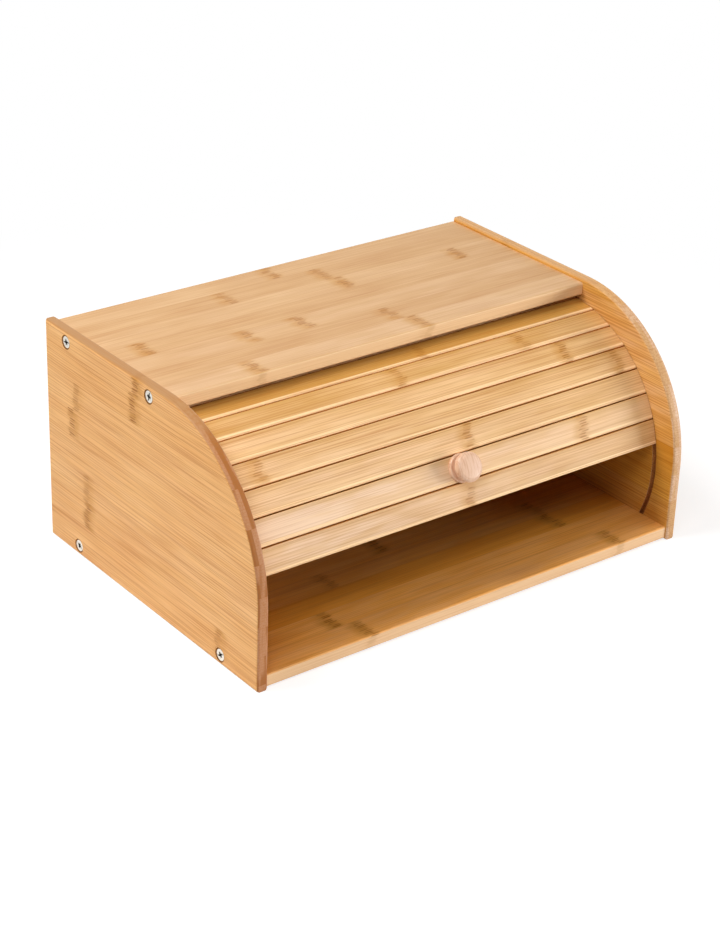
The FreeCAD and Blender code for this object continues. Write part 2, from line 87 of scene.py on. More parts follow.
# The lamellas that each board is glued up from: where the first one starts and how wide they
# are in millimetres, and then a row for each, counted from the board's front edge or foot. A
# row says how deep its tone is, how strong its fibre lines are, how pink it is, where along
# the grain it has up to two cane joints, and how dark these are.
LAMELLAS = {
    "top_board": (-21.7, 22.33, [
        (0.35, 0.17, 0.27, -113, 35, 0.7),
        (0.55, 0.22, 0.12, 25, NONE, 0.62),
        (0.4, 0.17, 0.2, -39, -86, 0.7),
        (0.45, 0.24, 0.1, -160, NONE, 0.79),
        (0.3, 0.2, 0.14, 33, 144, 0.88),
        (0.5, 0.22, 0.08, -61, 28, 0.62),
        (0.35, 0.2, 0.12, -4, NONE, 0.7),
    ]),
    "bottom_board": (-133.5, 22.33, [
        (0.3, 0.2, 0.2, -96, 140, 0.75),
        (0.45, 0.28, 0.14, -109, NONE, 0.94),
        # this lamella is deeper than its neighbours as painted shade, for the light that falls
        # off inside the box
        (0.75, 0.24, 0.02, 121, NONE, 0.94),
        (0.5, 0.28, 0.12, -78, 121, 0.56),
        (0.4, 0.24, 0.14, -15, NONE, 0.94),
        (0.55, 0.3, 0.1, 60, NONE, 0.66),
        (0.35, 0.24, 0.16, -130, 90, 0.75),
        (0.45, 0.28, 0.14, 10, NONE, 0.75),
        (0.4, 0.2, 0.16, -60, 150, 0.66),
        (0.5, 0.28, 0.12, 75, NONE, 0.84),
        (0.35, 0.24, 0.14, -20, NONE, 0.66),
        (0.45, 0.24, 0.14, 110, NONE, 0.75),
    ]),
    "side_left": (-17.5, 22.5, [
        (0.45, 0.4, 0.12, NONE, NONE, 0.0),
        (0.55, 0.43, 0.1, -88, NONE, 0.65),
        (0.5, 0.43, 0.12, 82, NONE, 1.0),
        (0.4, 0.48, 0.15, 82, NONE, 0.55),
        (0.45, 0.43, 0.12, NONE, NONE, 0.0),
        (0.5, 0.4, 0.12, 101, NONE, 0.98),
        (0.45, 0.43, 0.1, 94, NONE, 0.55),
        (0.6, 0.43, 0.07, 18, NONE, 1.0),
        (0.55, 0.4, 0.1, 15, NONE, 1.0),
    ]),
    "side_right": (-12.0, 22.5, [
        (0.5, 0.52, 0.08, -30, NONE, 0.74),
        (0.6, 0.55, 0.06, 60, NONE, 0.84),
        (0.65, 0.52, 0.0, NONE, NONE, 0.0),
        (0.8, 0.52, 0.0, 110, -60, 0.74),
        (0.5, 0.55, 0.14, 20, NONE, 0.95),
        (0.45, 0.5, 0.32, NONE, NONE, 0.0),
        (0.4, 0.45, 0.34, 85, NONE, 0.84),
        (0.5, 0.5, 0.26, -5, NONE, 0.64),
        (0.5, 0.47, 0.08, 70, NONE, 0.84),
    ]),
    "back_panel": (-9.0, 22.0, [
        (0.5, 0.23, 0.15, 40, NONE, 0.77),
        (0.4, 0.25, 0.17, -110, 130, 0.86),
        (0.55, 0.23, 0.12, 70, NONE, 0.77),
        (0.45, 0.25, 0.15, -20, NONE, 0.96),
        (0.5, 0.23, 0.15, 155, -80, 0.67),
        (0.4, 0.25, 0.17, 15, NONE, 0.86),
        (0.55, 0.23, 0.12, -140, 100, 0.77),
        (0.45, 0.25, 0.15, 60, NONE, 0.77),
    ]),
    "slats": (0.0, 20.0, [
        (0.45, 0.31, 0.62, 5, NONE, 0.55),
        (0.25, 0.21, 0.76, 118, NONE, 0.62),
        (0.26, 0.33, 0.34, 16, NONE, 0.62),
        (0.4, 0.36, 0.26, -157, 172, 0.51),
        (0.42, 0.35, 0.18, 132, NONE, 0.69),
        (0.56, 0.31, 0.06, -12, 104, 0.59),
        # the seventh slat's deep tone is in part painted shade, for the shadow that the top
        # board casts on it
        (1.0, 0.33, 0.02, 22, NONE, 0.55),
        (0.55, 0.29, 0.09, -100, NONE, 0.51),
        (0.7, 0.29, 0.05, 60, NONE, 0.51),
        (0.6, 0.31, 0.09, -40, NONE, 0.59),
        (0.55, 0.31, 0.09, 150, NONE, 0.59),
    ]),
}
# the direction in which each board's lamellas run, that in which they follow each other, and
# the one through its thickness
GRAIN = {
    "top_board": "XYZ",
    "bottom_board": "XYZ",
    "side_left": "YZX",
    "side_right": "YZX",
    "back_panel": "XZY",
}


def linear(colour):
    """A hex colour as the linear red, green and blue that a shader takes."""
    parts = [int(colour[place : place + 2], 16) / 255 for place in (1, 3, 5)]
    return [c / 12.92 if c <= 0.04045 else ((c + 0.055) / 1.055) ** 2.4 for c in parts]


def colour_property(name, description, colour):
    """A colour that a user can change."""
    return bpy.props.FloatVectorProperty(
        name=name,
        description=description,
        default=linear(colour),
        subtype="COLOR",
        min=0,
        max=1,
    )


def length_property(name, description, millimetres):
    """A length that a user can change."""
    return bpy.props.FloatProperty(
        name=name, description=description, default=millimetres * MM, min=0, unit="LENGTH"
    )


class BreadBoxSizes(bpy.types.PropertyGroup):
    """Sizes of the soft edges, the slats, the canvas and the turned knob."""

    side_round: length_property("Side round", "How far a side panel's edges are eased", 0.75)
    board_round: length_property("Board round", "How far the edges of the boards are eased", 0.3)
    groove_round: length_property("Groove round", "How far the tracks' edges are eased", 0.45)
    mouth_round: length_property("Hole round", "How far the screw holes' rims are eased", 0.5)
    slat_width: length_property("Slat width", "Width of one slat", 18.7)
    slat_flare: length_property("Slat flare", "How much wider a slat is at its face", 0.5)
    slat_thickness: length_property("Slat thickness", "Thickness of one slat", 5)
    slat_round: length_property("Slat round", "Radius of a slat's lower outer edge", 1.5)
    slat_upper_round: length_property("Slat upper round", "Radius of its upper outer edge", 0.9)
    slat_face: length_property("Slat face radius", "From the track's centre to a face", 107.3)
    tongue_width: length_property("Tongue width", "Width of the tongue at a slat's end", 15)
    tongue_thickness: length_property("Tongue thickness", "Thickness of that tongue", 3)
    tongue_length: length_property("Tongue length", "How far the tongue stands out", 4.9)
    canvas_thickness: length_property("Canvas thickness", "Thickness of the canvas", 0.6)
    thread: length_property("Thread spacing", "From one thread of it to the next", 0.9)
    knob_dome: length_property("Knob height", "Height of the knob's domed face", 13.6)


class BreadBoxColours(bpy.types.PropertyGroup):
    """Colours of the bamboo, the turned wood, the canvas and the screws."""

    left_pale: colour_property("Left panel, pale", "Pale tone of the left panel", "#EDBA76")
    left_deep: colour_property("Left panel, deep", "Deep tone of the left panel", "#DB9C53")
    left_edge: colour_property("Left edge, dark", "Cut edge of the left panel", "#A26738")
    left_edge_pale: colour_property("Left edge, pale", "Its paler lamellas", "#BB865F")
    left_top: colour_property("Left top edge", "Long edges of the left panel", "#B68757")
    right_pale: colour_property("Right panel, pale", "Pale tone of the right panel", "#E9AF50")
    right_deep: colour_property("Right panel, deep", "Deep tone of the right panel", "#C9842B")
    right_edge: colour_property("Right edge, dark", "Cut edge of the right panel", "#CFA575")
    right_edge_pale: colour_property("Right edge, pale", "Its paler lamellas", "#DAB796")
    right_top: colour_property("Right top edge", "Long edges of the right panel", "#D9A870")
    top_pale: colour_property("Top board, pale", "Pale tone of the top board", "#DAB17F")
    top_deep: colour_property("Top board, deep", "Deep tone of the top board", "#C2915B")
    top_front: colour_property("Top board, edge", "Front edge of the top board", "#F8D6A7")
    bottom_pale: colour_property("Bottom board, pale", "Its pale tone", "#F9AD46")
    bottom_deep: colour_property("Bottom board, deep", "Its deep tone", "#DF8F2C")
    bottom_front: colour_property("Bottom board, edge", "Its front edge", "#F7D2A5")
    back_pale: colour_property("Back panel, pale", "Pale tone of the back panel", "#D29D5E")
    back_deep: colour_property("Back panel, deep", "Deep tone of the back panel", "#B97F3E")
    slat_pale: colour_property("Slats, pale", "Pale tone of the slats", "#EDC38E")
    slat_deep: colour_property("Slats, deep", "Deep tone of the slats", "#C28F44")
    # painted highlight: the pale strip on every slat's rounded lower edge
    slat_edge_highlight: colour_property("Slats, rim", "Paler lower edge of every slat", "#FFDAA7")
    pink: colour_property("Pink tone", "Pinkish tone of the inner cane wall", "#F3D2B2")
    line: colour_property("Fibre lines", "Thin brown fibre lines along the grain", "#AC6318")
    haze: colour_property("Joint haze", "Soft brown round the cane's joints", "#BF8434")
    joint: colour_property("Cane joints", "Flecks where the cane had its joints", "#985A14")
    turned: colour_property("Turned wood", "The knob's wood", "#DDB596")
    turned_deep: colour_property("Turned wood, grain", "Grain of the knob's wood", "#CC9B7A")
    routed: colour_property("Routed bamboo", "Bare bamboo in the tracks", "#CF8545")
    # painted shade: the dark ring round each screw head, laid on the holes' rims and walls
    hole_shade: colour_property("Drilled bamboo", "Shaded bamboo round the screws", "#8E5E30")
    sawn: colour_property("Sawn bamboo", "Bare long sides of the slats", "#E79A52")
    canvas: colour_property("Canvas", "Brown canvas behind the slats", "#96642C")
    zinc: colour_property("Zinc", "Zinc plating of the screws", "#E4E0D6")


# settings of the nodes that blend softly and of those that mix colours
SOFT = {"interpolation_type": "SMOOTHSTEP"}
RGBA = {"data_type": "RGBA"}


def add_node(tree, kind, sockets=None, **settings):
    """Add a shader node with its settings. Sockets gives an input, by name or number, its
    value, or the node or the node's output that feeds it."""
    node = tree.nodes.new("ShaderNode" + kind)
    for name, setting in settings.items():
        setattr(node, name, setting)
    for name, given in (sockets or {}).items():
        if isinstance(given, bpy.types.Node):
            given = given.outputs[0]
        if isinstance(given, bpy.types.NodeSocket):
            tree.links.new(given, node.inputs[name])
        else:
            node.inputs[name].default_value = given
    return node


def cleared(owner):
    """Empty the node tree of a material or world, and give the function that adds to it."""
    owner.use_nodes = True
    owner.node_tree.nodes.clear()
    return partial(add_node, owner.node_tree)


def seen_by_the_eye(add):
    """1 where the eye looks, straight or by way of metal or glass, and 0 where light falls."""
    path = add("LightPath").outputs
    sockets = {0: path["Is Camera Ray"], 1: path["Is Glossy Ray"]}
    seen = add("Math", sockets, operation="MAXIMUM")
    return add("Math", {0: seen, 1: path["Is Transmission Ray"]}, operation="MAXIMUM")


def lamella_table(add, place, rows):
    """A ramp with one flat step for each lamella, which carries three numbers of its row."""
    ramp = add("ValToRGB", {0: place})
    ramp.color_ramp.interpolation = "CONSTANT"
    steps = ramp.color_ramp.elements
    steps.remove(steps[1])
    for index, row in enumerate(rows):
        step = steps[0] if index == 0 else steps.new(index / len(rows))
        step.position = index / len(rows)
        step.color = (*row, 1)
    return add("SeparateColor", {0: ramp}).outputs[:3]


def cut_edges(add, grain, place, tones, line):
    """How far a spot lies on a board's edges, and the colour that it has there. End grain has
    patches of the first two tones, and edges that are sawn along the grain have the third."""
    facing = add("SeparateXYZ", {0: add("TexCoord").outputs["Normal"]}).outputs
    along, _, through = (facing["XYZ".index(axis)] for axis in grain)
    # the sides' rounded edges are cut through as well, while the boards' keep their face
    full, none = (0.72, 0.97) if grain[2] == "X" else (0.4, 0.8)
    flat = add("Math", {0: through}, operation="ABSOLUTE")
    rim = add("MapRange", {0: flat, 1: full, 2: none, 3: 1.0, 4: 0.0}, **SOFT)
    across = add("Math", {0: along}, operation="ABSOLUTE")
    across = add("MapRange", {0: across, 1: 0.1, 2: 0.6}, **SOFT)
    # patches some 50 mm long, one or two to the thickness of a board
    size = (0.02, 0.02, 0.24)
    patch = add("VectorMath", {0: place, 1: size}, operation="MULTIPLY")
    patch = add("TexNoise", {"Vector": patch, "Scale": 1.0, "Detail": 0.5})
    patch = add("MapRange", {0: patch, 1: 0.45, 2: 0.55}, **SOFT)
    dark, pale, sawn = ((*tone, 1) for tone in tones)
    ends = add("Mix", {0: patch, 6: dark, 7: pale}, **RGBA).outputs[2]
    # the cut ends of the fibre bundles are dots of about 0.8 mm
    dots = add("VectorMath", {0: place, 1: (0.5, 0.5, 1.2)}, operation="MULTIPLY")
    dots = add("TexNoise", {"Vector": dots, "Scale": 1.0, "Detail": 1.0})
    dots = add("MapRange", {0: dots, 1: 0.5, 2: 0.68, 3: 0.0, 4: 0.25}, **SOFT)
    ends = add("Mix", {0: dots, 6: ends, 7: (*line, 1)}, **RGBA).outputs[2]
    return rim, add("Mix", {0: across, 6: sawn, 7: ends}, **RGBA).outputs[2]


def cane_joints(add, streaks, u, v, places):
    """The marks that cane joints leave: a soft haze, and beside it a ladder of short strokes
    across the lamella, about 1.9 mm apart and each a little out of line."""
    waver = add("Math", {0: streaks(500, 7.0), 1: 0.5}, operation="SUBTRACT")
    bent = add("Math", {0: waver, 1: 9.0, 2: u}, operation="MULTIPLY_ADD")
    jitter = add("Math", {0: streaks(500, 1.7), 1: 0.5}, operation="SUBTRACT")
    jolted = add("Math", {0: jitter, 1: 11.0, 2: bent}, operation="MULTIPLY_ADD")
    rungs = add("Math", {0: streaks(30, 3.0), 1: 1.5, 2: v}, operation="MULTIPLY_ADD")
    rungs = add("Math", {0: rungs, 1: 0.95}, operation="PINGPONG")
    rungs = add("MapRange", {0: rungs, 1: 0.25, 2: 0.65, 3: 1.0, 4: 0.15}, **SOFT)
    worn = add("MapRange", {0: streaks(14, 2.2), 1: 0.36, 2: 0.6, 3: 0.25, 4: 1.0}, **SOFT)
    flecks = add("Math", {0: rungs, 1: worn}, operation="MULTIPLY")
    marks, hazes = [], []
    for place in places:
        sockets = {0: place, 1: 2 * FAR, 2: -FAR}
        middle = add("Math", sockets, operation="MULTIPLY_ADD")
        band = add("Math", {0: jolted, 1: middle}, operation="SUBTRACT")
        band = add("Math", {0: band}, operation="ABSOLUTE")
        band = add("MapRange", {0: band, 1: 2.4, 2: 4.4, 3: 1.0, 4: 0.0}, **SOFT)
        marks.append(add("Math", {0: band, 1: flecks}, operation="MULTIPLY"))
        beside = add("Math", {0: bent, 1: middle}, operation="SUBTRACT")
        beside = add("Math", {0: beside, 1: 2.5}, operation="ADD")
        beside = add("Math", {0: beside}, operation="ABSOLUTE")
        hazes.append(add("MapRange", {0: beside, 1: 1.0, 2: 11.0, 3: 0.8, 4: 0.0}, **SOFT))
    haze, mark = (
        add("Math", {0: both[0], 1: both[1]}, operation="MAXIMUM") for both in (hazes, marks)
    )
    uneven = add("MapRange", {0: streaks(16, 4.5), 1: 0.3, 2: 0.6, 3: 0.3, 4: 1.0})
    return add("Math", {0: haze, 1: uneven}, operation="MULTIPLY"), mark


def lacquered_bamboo(name, boards, pale, deep, edge=None):
    """Flat-pressed bamboo, glued up from lamellas, sanded and sprayed with satin lacquer.

    The eye sees broad strips of slightly different tone, thin brown fibre lines about two
    millimetres apart, bands of short brown flecks where the cane had its joints, and a soft
    sheen. Edge gives the tones of a board's cut edges.
    """
    colours = bpy.context.scene.bread_box_colours
    material = bpy.data.materials.new(name)
    add = cleared(material)
    start, width, rows = LAMELLAS[boards]
    grain = GRAIN.get(boards)
    line = (*colours.line, 1)

    # u runs along the grain, v across the lamellas and w through the board, in millimetres
    if grain:
        place = add("TexCoord").outputs["Object"]
        scaled = add("VectorMath", {0: place, 1: (1000,) * 3}, operation="MULTIPLY")
        parts = add("SeparateXYZ", {0: scaled}).outputs
        u, v, w = (parts["XYZ".index(axis)] for axis in grain)
    else:
        stored = add("Attribute", attribute_name="grain").outputs["Vector"]
        u, v, w = add("SeparateXYZ", {0: stored}).outputs
    from_start = add("Math", {0: v, 1: start}, operation="SUBTRACT")
    strips = add("Math", {0: from_start, 1: width}, operation="DIVIDE")
    number = add("Math", {0: strips}, operation="FLOOR")
    share = 1 / len(rows)
    step = add("Math", {0: number, 1: share, 2: share / 2}, operation="MULTIPLY_ADD")
    tone, lines, pinkness = lamella_table(add, step, [row[:3] for row in rows])
    # a ramp holds numbers from 0 to 1
    joints = [((row[3] + FAR) / (2 * FAR), (row[4] + FAR) / (2 * FAR), row[5]) for row in rows]
    first, second, dark = lamella_table(add, step, joints)

    # every lamella has its own fibres: its number shifts the pattern through the board
    shifted = add("Math", {0: number, 1: 37.0, 2: w}, operation="MULTIPLY_ADD")
    fibre_place = add("CombineXYZ", {0: u, 1: v, 2: shifted})

    def streaks(along, across, detail=1.0):
        """Noise that is drawn out along the grain: its two sizes are in millimetres."""
        size = (1 / along, 1 / across, 1 / across)
        squeezed = add("VectorMath", {0: fibre_place, 1: size}, operation="MULTIPLY")
        sockets = {"Vector": squeezed, "Scale": 1.0, "Detail": detail}
        return add("TexNoise", sockets).outputs[0]

    # fibre bundles: thin lines about 2 mm apart that come and go, and finer ones between them
    bent = add("Math", {0: streaks(300, 6.0), 1: 1.3, 2: v}, operation="MULTIPLY_ADD")
    ruled = add("Math", {0: bent, 1: 1.0}, operation="PINGPONG")
    ruled = add("MapRange", {0: ruled, 1: 0.1, 2: 0.5, 3: 1.0, 4: 0.0}, **SOFT)
    shown = add("MapRange", {0: streaks(75, 2.0), 1: 0.4, 2: 0.56}, **SOFT)
    ruled = add("Math", {0: ruled, 1: shown}, operation="MULTIPLY")
    stray = add("MapRange", {0: streaks(110, 0.9), 1: 0.54, 2: 0.64}, **SOFT)
    fibre_lines = add("Math", {0: ruled, 1: stray}, operation="MAXIMUM")
    finest_lines = add("MapRange", {0: streaks(50, 0.8), 1: 0.46, 2: 0.66}, **SOFT)

    # the lamella's own tone, with slow bands and clouds
    depth = add("Math", {0: streaks(260, 4.5), 1: 0.6, 2: tone}, operation="MULTIPLY_ADD")
    sockets = {0: streaks(60, 18.0, 2.0), 1: 1.0, 2: depth}
    depth = add("Math", sockets, operation="MULTIPLY_ADD")
    depth = add("Math", {0: depth, 1: 0.8}, operation="SUBTRACT", use_clamp=True)
    wood = add("Mix", {0: depth, 6: (*pale, 1), 7: (*deep, 1)}, **RGBA).outputs[2]

    # what lies over it, from the ground up: how much each layer shows, and its colour. First a
    # pinkish cast here and there
    sockets = {0: streaks(34, 7.0), 1: 0.35, 2: 0.65, 3: 0.55, 4: 1.0}
    patches = add("MapRange", sockets, **SOFT)
    rosy = add("Math", {0: pinkness, 1: patches}, operation="MULTIPLY")
    if not grain:
        # the slats come from canes that turn more golden towards the right
        golden = add("MapRange", {0: u, 1: -120.0, 2: 160.0, 3: 1.25, 4: 0.3})
        rosy = add("Math", {0: rosy, 1: golden}, operation="MULTIPLY")
    layers = [(rosy, (*colours.pink, 1))]
    if edge:
        rim, sawn = cut_edges(add, grain, fibre_place, edge, colours.line)
        layers.append((rim, sawn))
        # lines and joints show less there
        lines_left = add("Math", {0: rim, 1: -0.35, 2: 1.0}, operation="MULTIPLY_ADD")
        lines = add("Math", {0: lines, 1: lines_left}, operation="MULTIPLY")
        joints_left = add("Math", {0: rim, 1: -0.75, 2: 1.0}, operation="MULTIPLY_ADD")
        dark = add("Math", {0: dark, 1: joints_left}, operation="MULTIPLY")
    elif not grain:
        # a slat's rounded lower edge gets a paler strip, a painted highlight for the light that
        # it catches, and its upper edge turns more golden, a painted shade
        height = add("Math", {0: strips}, operation="FRACT")
        # painted highlight along the lower edge
        rim = add("MapRange", {0: height, 1: 0.15, 2: 0.18, 3: 0.8, 4: 0.0}, **SOFT)
        # painted shade: the upper edge blends towards the deep tone
        upper_shade = add("MapRange", {0: height, 1: 0.7, 2: 0.93, 3: 0.0, 4: 0.4}, **SOFT)
        layers += [(rim, (*colours.slat_edge_highlight, 1)), (upper_shade, (*deep, 1))]

    # the fibre lines, with the finest ones as a faint unevenness
    shown = add("Math", {0: fibre_lines, 1: lines}, operation="MULTIPLY")
    fine = add("Math", {0: finest_lines, 1: lines}, operation="MULTIPLY")
    fine = add("Math", {0: fine, 1: 0.5}, operation="MULTIPLY")
    layers += [(shown, line), (fine, line)]

    # the cane joints
    marks = cane_joints(add, streaks, u, v, (first, second))
    for mark, colour in zip(marks, (colours.haze, colours.joint)):
        mark = add("Math", {0: mark, 1: dark}, operation="MULTIPLY")
        layers.append((mark, (*colour, 1)))

    # glue line: a hair of shade between neighbouring lamellas
    glue = add("Math", {0: strips, 1: 0.5}, operation="PINGPONG")
    glue = add("MapRange", {0: glue, 1: 0.0, 2: 0.4 / width, 3: 0.18, 4: 0.0}, **SOFT)
    layers.append((glue, line))
    for shows, colour in layers:
        wood = add("Mix", {0: shows, 6: wood, 7: colour}, **RGBA).outputs[2]

    # sunk fibre lines under the lacquer, a few hundredths of a millimetre deep
    sockets = {0: fibre_lines, 1: -0.6, 2: finest_lines}
    sunk = add("Math", sockets, operation="MULTIPLY_ADD")
    bump = add("Bump", {"Strength": 0.2, "Distance": 0.04 * MM, "Height": sunk})
    sockets = {
        "Base Color": wood,
        "Roughness": 0.4,
        "IOR": 1.45,
        "Specular IOR Level": 0.2,
        "Normal": bump,
    }
    add("OutputMaterial", {"Surface": add("BsdfPrincipled", sockets)})
    return material


def bare_bamboo(name, colour):
    """Bamboo that a cutter has left bare and dull: in the tracks, round the screws, where a
    darker colour is painted shade, and on the long sides of the slats."""
    material = bpy.data.materials.new(name)
    add = cleared(material)
    place = add("TexCoord").outputs["Object"]
    # the cut ends of the fibre bundles are dots of about 0.8 mm
    spots = add("TexNoise", {"Vector": place, "Scale": 1250.0, "Detail": 2.0}).outputs[0]
    share = add("MapRange", {0: spots, 1: 0.35, 2: 0.65})
    dark = tuple(c * 0.55 for c in colour)
    sockets = {0: share, 6: (*colour, 1), 7: (*dark, 1)}
    wood = add("Mix", sockets, **RGBA).outputs[2]
    bump = add("Bump", {"Strength": 0.4, "Distance": 0.1 * MM, "Height": spots})
    sockets = {"Base Color": wood, "Roughness": 0.9, "Specular IOR Level": 0.05, "Normal": bump}
    add("OutputMaterial", {"Surface": add("BsdfPrincipled", sockets)})
    return material


def turned_wood():
    """Beech, turned, sanded and lacquered: pinkish, with a faint straight grain across the
    face and a soft sheen."""
    colours = bpy.context.scene.bread_box_colours
    material = bpy.data.materials.new("lacquered_turned_beech")
    add = cleared(material)
    place = add("Attribute", attribute_name="grain").outputs["Vector"]
    # beech shows fine short rays about 0.5 mm apart
    squeezed = add("VectorMath", {0: place, 1: (1.6, 0.12, 0.12)}, operation="MULTIPLY")
    grain = add("TexNoise", {"Vector": squeezed, "Scale": 1.0, "Detail": 2.0}).outputs[0]
    share = add("MapRange", {0: grain, 1: 0.4, 2: 0.7}, **SOFT)
    sockets = {0: share, 6: (*colours.turned, 1), 7: (*colours.turned_deep, 1)}
    wood = add("Mix", sockets, **RGBA).outputs[2]
    bump = add("Bump", {"Strength": 0.2, "Distance": 0.05 * MM, "Height": grain})
    sockets = {
        "Base Color": wood,
        "Roughness": 0.4,
        "IOR": 1.5,
        "Coat Weight": 0.1,
        "Normal": bump,
    }
    add("OutputMaterial", {"Surface": add("BsdfPrincipled", sockets)})
    return material


def woven_canvas():
    """Plain-woven brown cotton canvas: dull threads with darker gaps between them."""
    scene = bpy.context.scene
    material = bpy.data.materials.new("woven_cotton_canvas")
    add = cleared(material)
    place = add("UVMap", uv_map="UVMap")
    size = (1 / scene.bread_box_sizes.thread,) * 3
    threads = add("VectorMath", {0: place, 1: size}, operation="MULTIPLY")
    crowns = []
    for direction in add("SeparateXYZ", {0: threads}).outputs[:2]:
        turn = add("Math", {0: direction, 1: math.pi}, operation="MULTIPLY")
        wave = add("Math", {0: turn}, operation="SINE")
        crowns.append(add("Math", {0: wave}, operation="ABSOLUTE"))
    over = add("TexChecker", {"Vector": threads, "Scale": 1.0}).outputs[1]
    weave = add("Mix", {0: over, 2: crowns[0], 3: crowns[1]}, data_type="FLOAT")
    shade = add("MapRange", {0: weave, 1: 0.0, 2: 1.0, 3: 0.65, 4: 1.0})
    colour = scene.bread_box_colours.canvas
    dark = tuple(c * 0.5 for c in colour)
    sockets = {0: shade, 6: (*dark, 1), 7: (*colour, 1)}
    cloth = add("Mix", sockets, **RGBA).outputs[2]
    bump = add("Bump", {"Strength": 0.5, "Distance": 0.2 * MM, "Height": weave})
    sockets = {"Base Color": cloth, "Roughness": 1.0, "Specular IOR Level": 0.1, "Normal": bump}
    add("OutputMaterial", {"Surface": add("BsdfPrincipled", sockets)})
    return material


def zinc_plated_steel():
    """Steel screw with bright zinc plating: a pale metal whose faint unevenness blurs what
    it mirrors."""
    material = bpy.data.materials.new("zinc_plated_steel")
    add = cleared(material)
    place = add("TexCoord").outputs["Object"]
    spots = add("TexNoise", {"Vector": place, "Scale": 900.0, "Detail": 3.0}).outputs[0]
    roughness = add("MapRange", {0: spots, 1: 0.3, 2: 0.7, 3: 0.24, 4: 0.4})
    bump = add("Bump", {"Strength": 0.15, "Distance": 0.03 * MM, "Height": spots})
    sockets = {
        "Base Color": (*bpy.context.scene.bread_box_colours.zinc, 1),
        "Metallic": 1.0,
        "Roughness": roughness,
        "Normal": bump,
    }
    add("OutputMaterial", {"Surface": add("BsdfPrincipled", sockets)})
    return material


def board_bamboo(node, tones):
    """The bamboo of one board, with its two tones and those of its cut edges."""
    colours = bpy.context.scene.bread_box_colours
    pale, deep, *edge = (getattr(colours, name) for name in tones)
    return lacquered_bamboo(f"lacquered_bamboo_{node}", node, pale, deep, edge)


def merged_copy(node):
    """The shape of a CAD node with its corners merged and its flat faces whole."""
    bm = bmesh.new()
    bm.from_mesh(frame["nodes"][node].data)
    bmesh.ops.remove_doubles(bm, verts=bm.verts, dist=0.002 * MM)
    bmesh.ops.dissolve_limit(
        bm, angle_limit=math.radians(0.5), verts=bm.verts, edges=bm.edges, delimit=set()
    )
    return bm


def rounded(bm, parts, reach, segments, affect="EDGES"):
    """Round some edges or corners."""
    bmesh.ops.bevel(
        bm,
        geom=parts,
        offset=reach,
        offset_type="OFFSET",
        affect=affect,
        segments=segments,
        profile=0.5,
        material=-1,
        clamp_overlap=True,
    )


def ease(bm, wanted, reach, segments):
    """Round the convex edges that are wanted."""
    edges = [
        edge
        for edge in bm.edges
        if edge.is_manifold
        and edge.is_convex
        and edge.calc_face_angle() > math.radians(30)
        and wanted(edge)
    ]
    rounded(bm, edges, reach, segments)


def mesh_of(name, bm):
    """Turn a bmesh into a mesh."""
    mesh = bpy.data.meshes.new(name)
    bm.to_mesh(mesh)
    bm.free()
    return mesh


def finished(name, bm, materials, body, replaces, sharp=40):
    """Turn a bmesh into a piece that rides on a body and stands for a CAD node. Edges where
    its faces meet at more than the sharp angle, in degrees, stay sharp."""
    mesh = mesh_of(name, bm)
    for material in materials:
        mesh.materials.append(material)
    mesh.shade_smooth()
    mesh.set_sharp_from_angle(angle=math.radians(sharp))
    piece = bpy.data.objects.new(name, mesh)
    bpy.context.scene.collection.objects.link(piece)
    # broad faces stay flat to the eye right up to their rounded edges
    weighted = piece.modifiers.new("even_faces", "WEIGHTED_NORMAL")
    weighted.keep_sharp = True
    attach(piece, body)
    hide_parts(replaces)
    return piece


def slat_angle(node):
    """The angle of a slat on the track, from straight ahead: its corners lie evenly on both
    sides of the line from the track's centre through its middle."""
    corners = frame["nodes"][node].data.vertices
    middle = sum((corner.co for corner in corners), Vector()) / len(corners) - TRACK
    return math.atan2(middle.z, -middle.y)


def onto_track(bm, angle):
    """Carry a shape, drawn at angle 0 about the origin, to its place on the track."""
    turn = Matrix.Translation(TRACK) @ Matrix.Rotation(angle, 4, AXIS)
    bmesh.ops.transform(bm, matrix=turn, verts=bm.verts)


def remember_grain(bm, shift=Vector()):
    """Keep every corner's place in the unturned piece, in millimetres, for its grain."""
    layer = bm.verts.layers.float_vector.new("grain")
    for corner in bm.verts:
        x, y, z = corner.co / MM
        corner[layer] = Vector((x, z, -y)) + shift


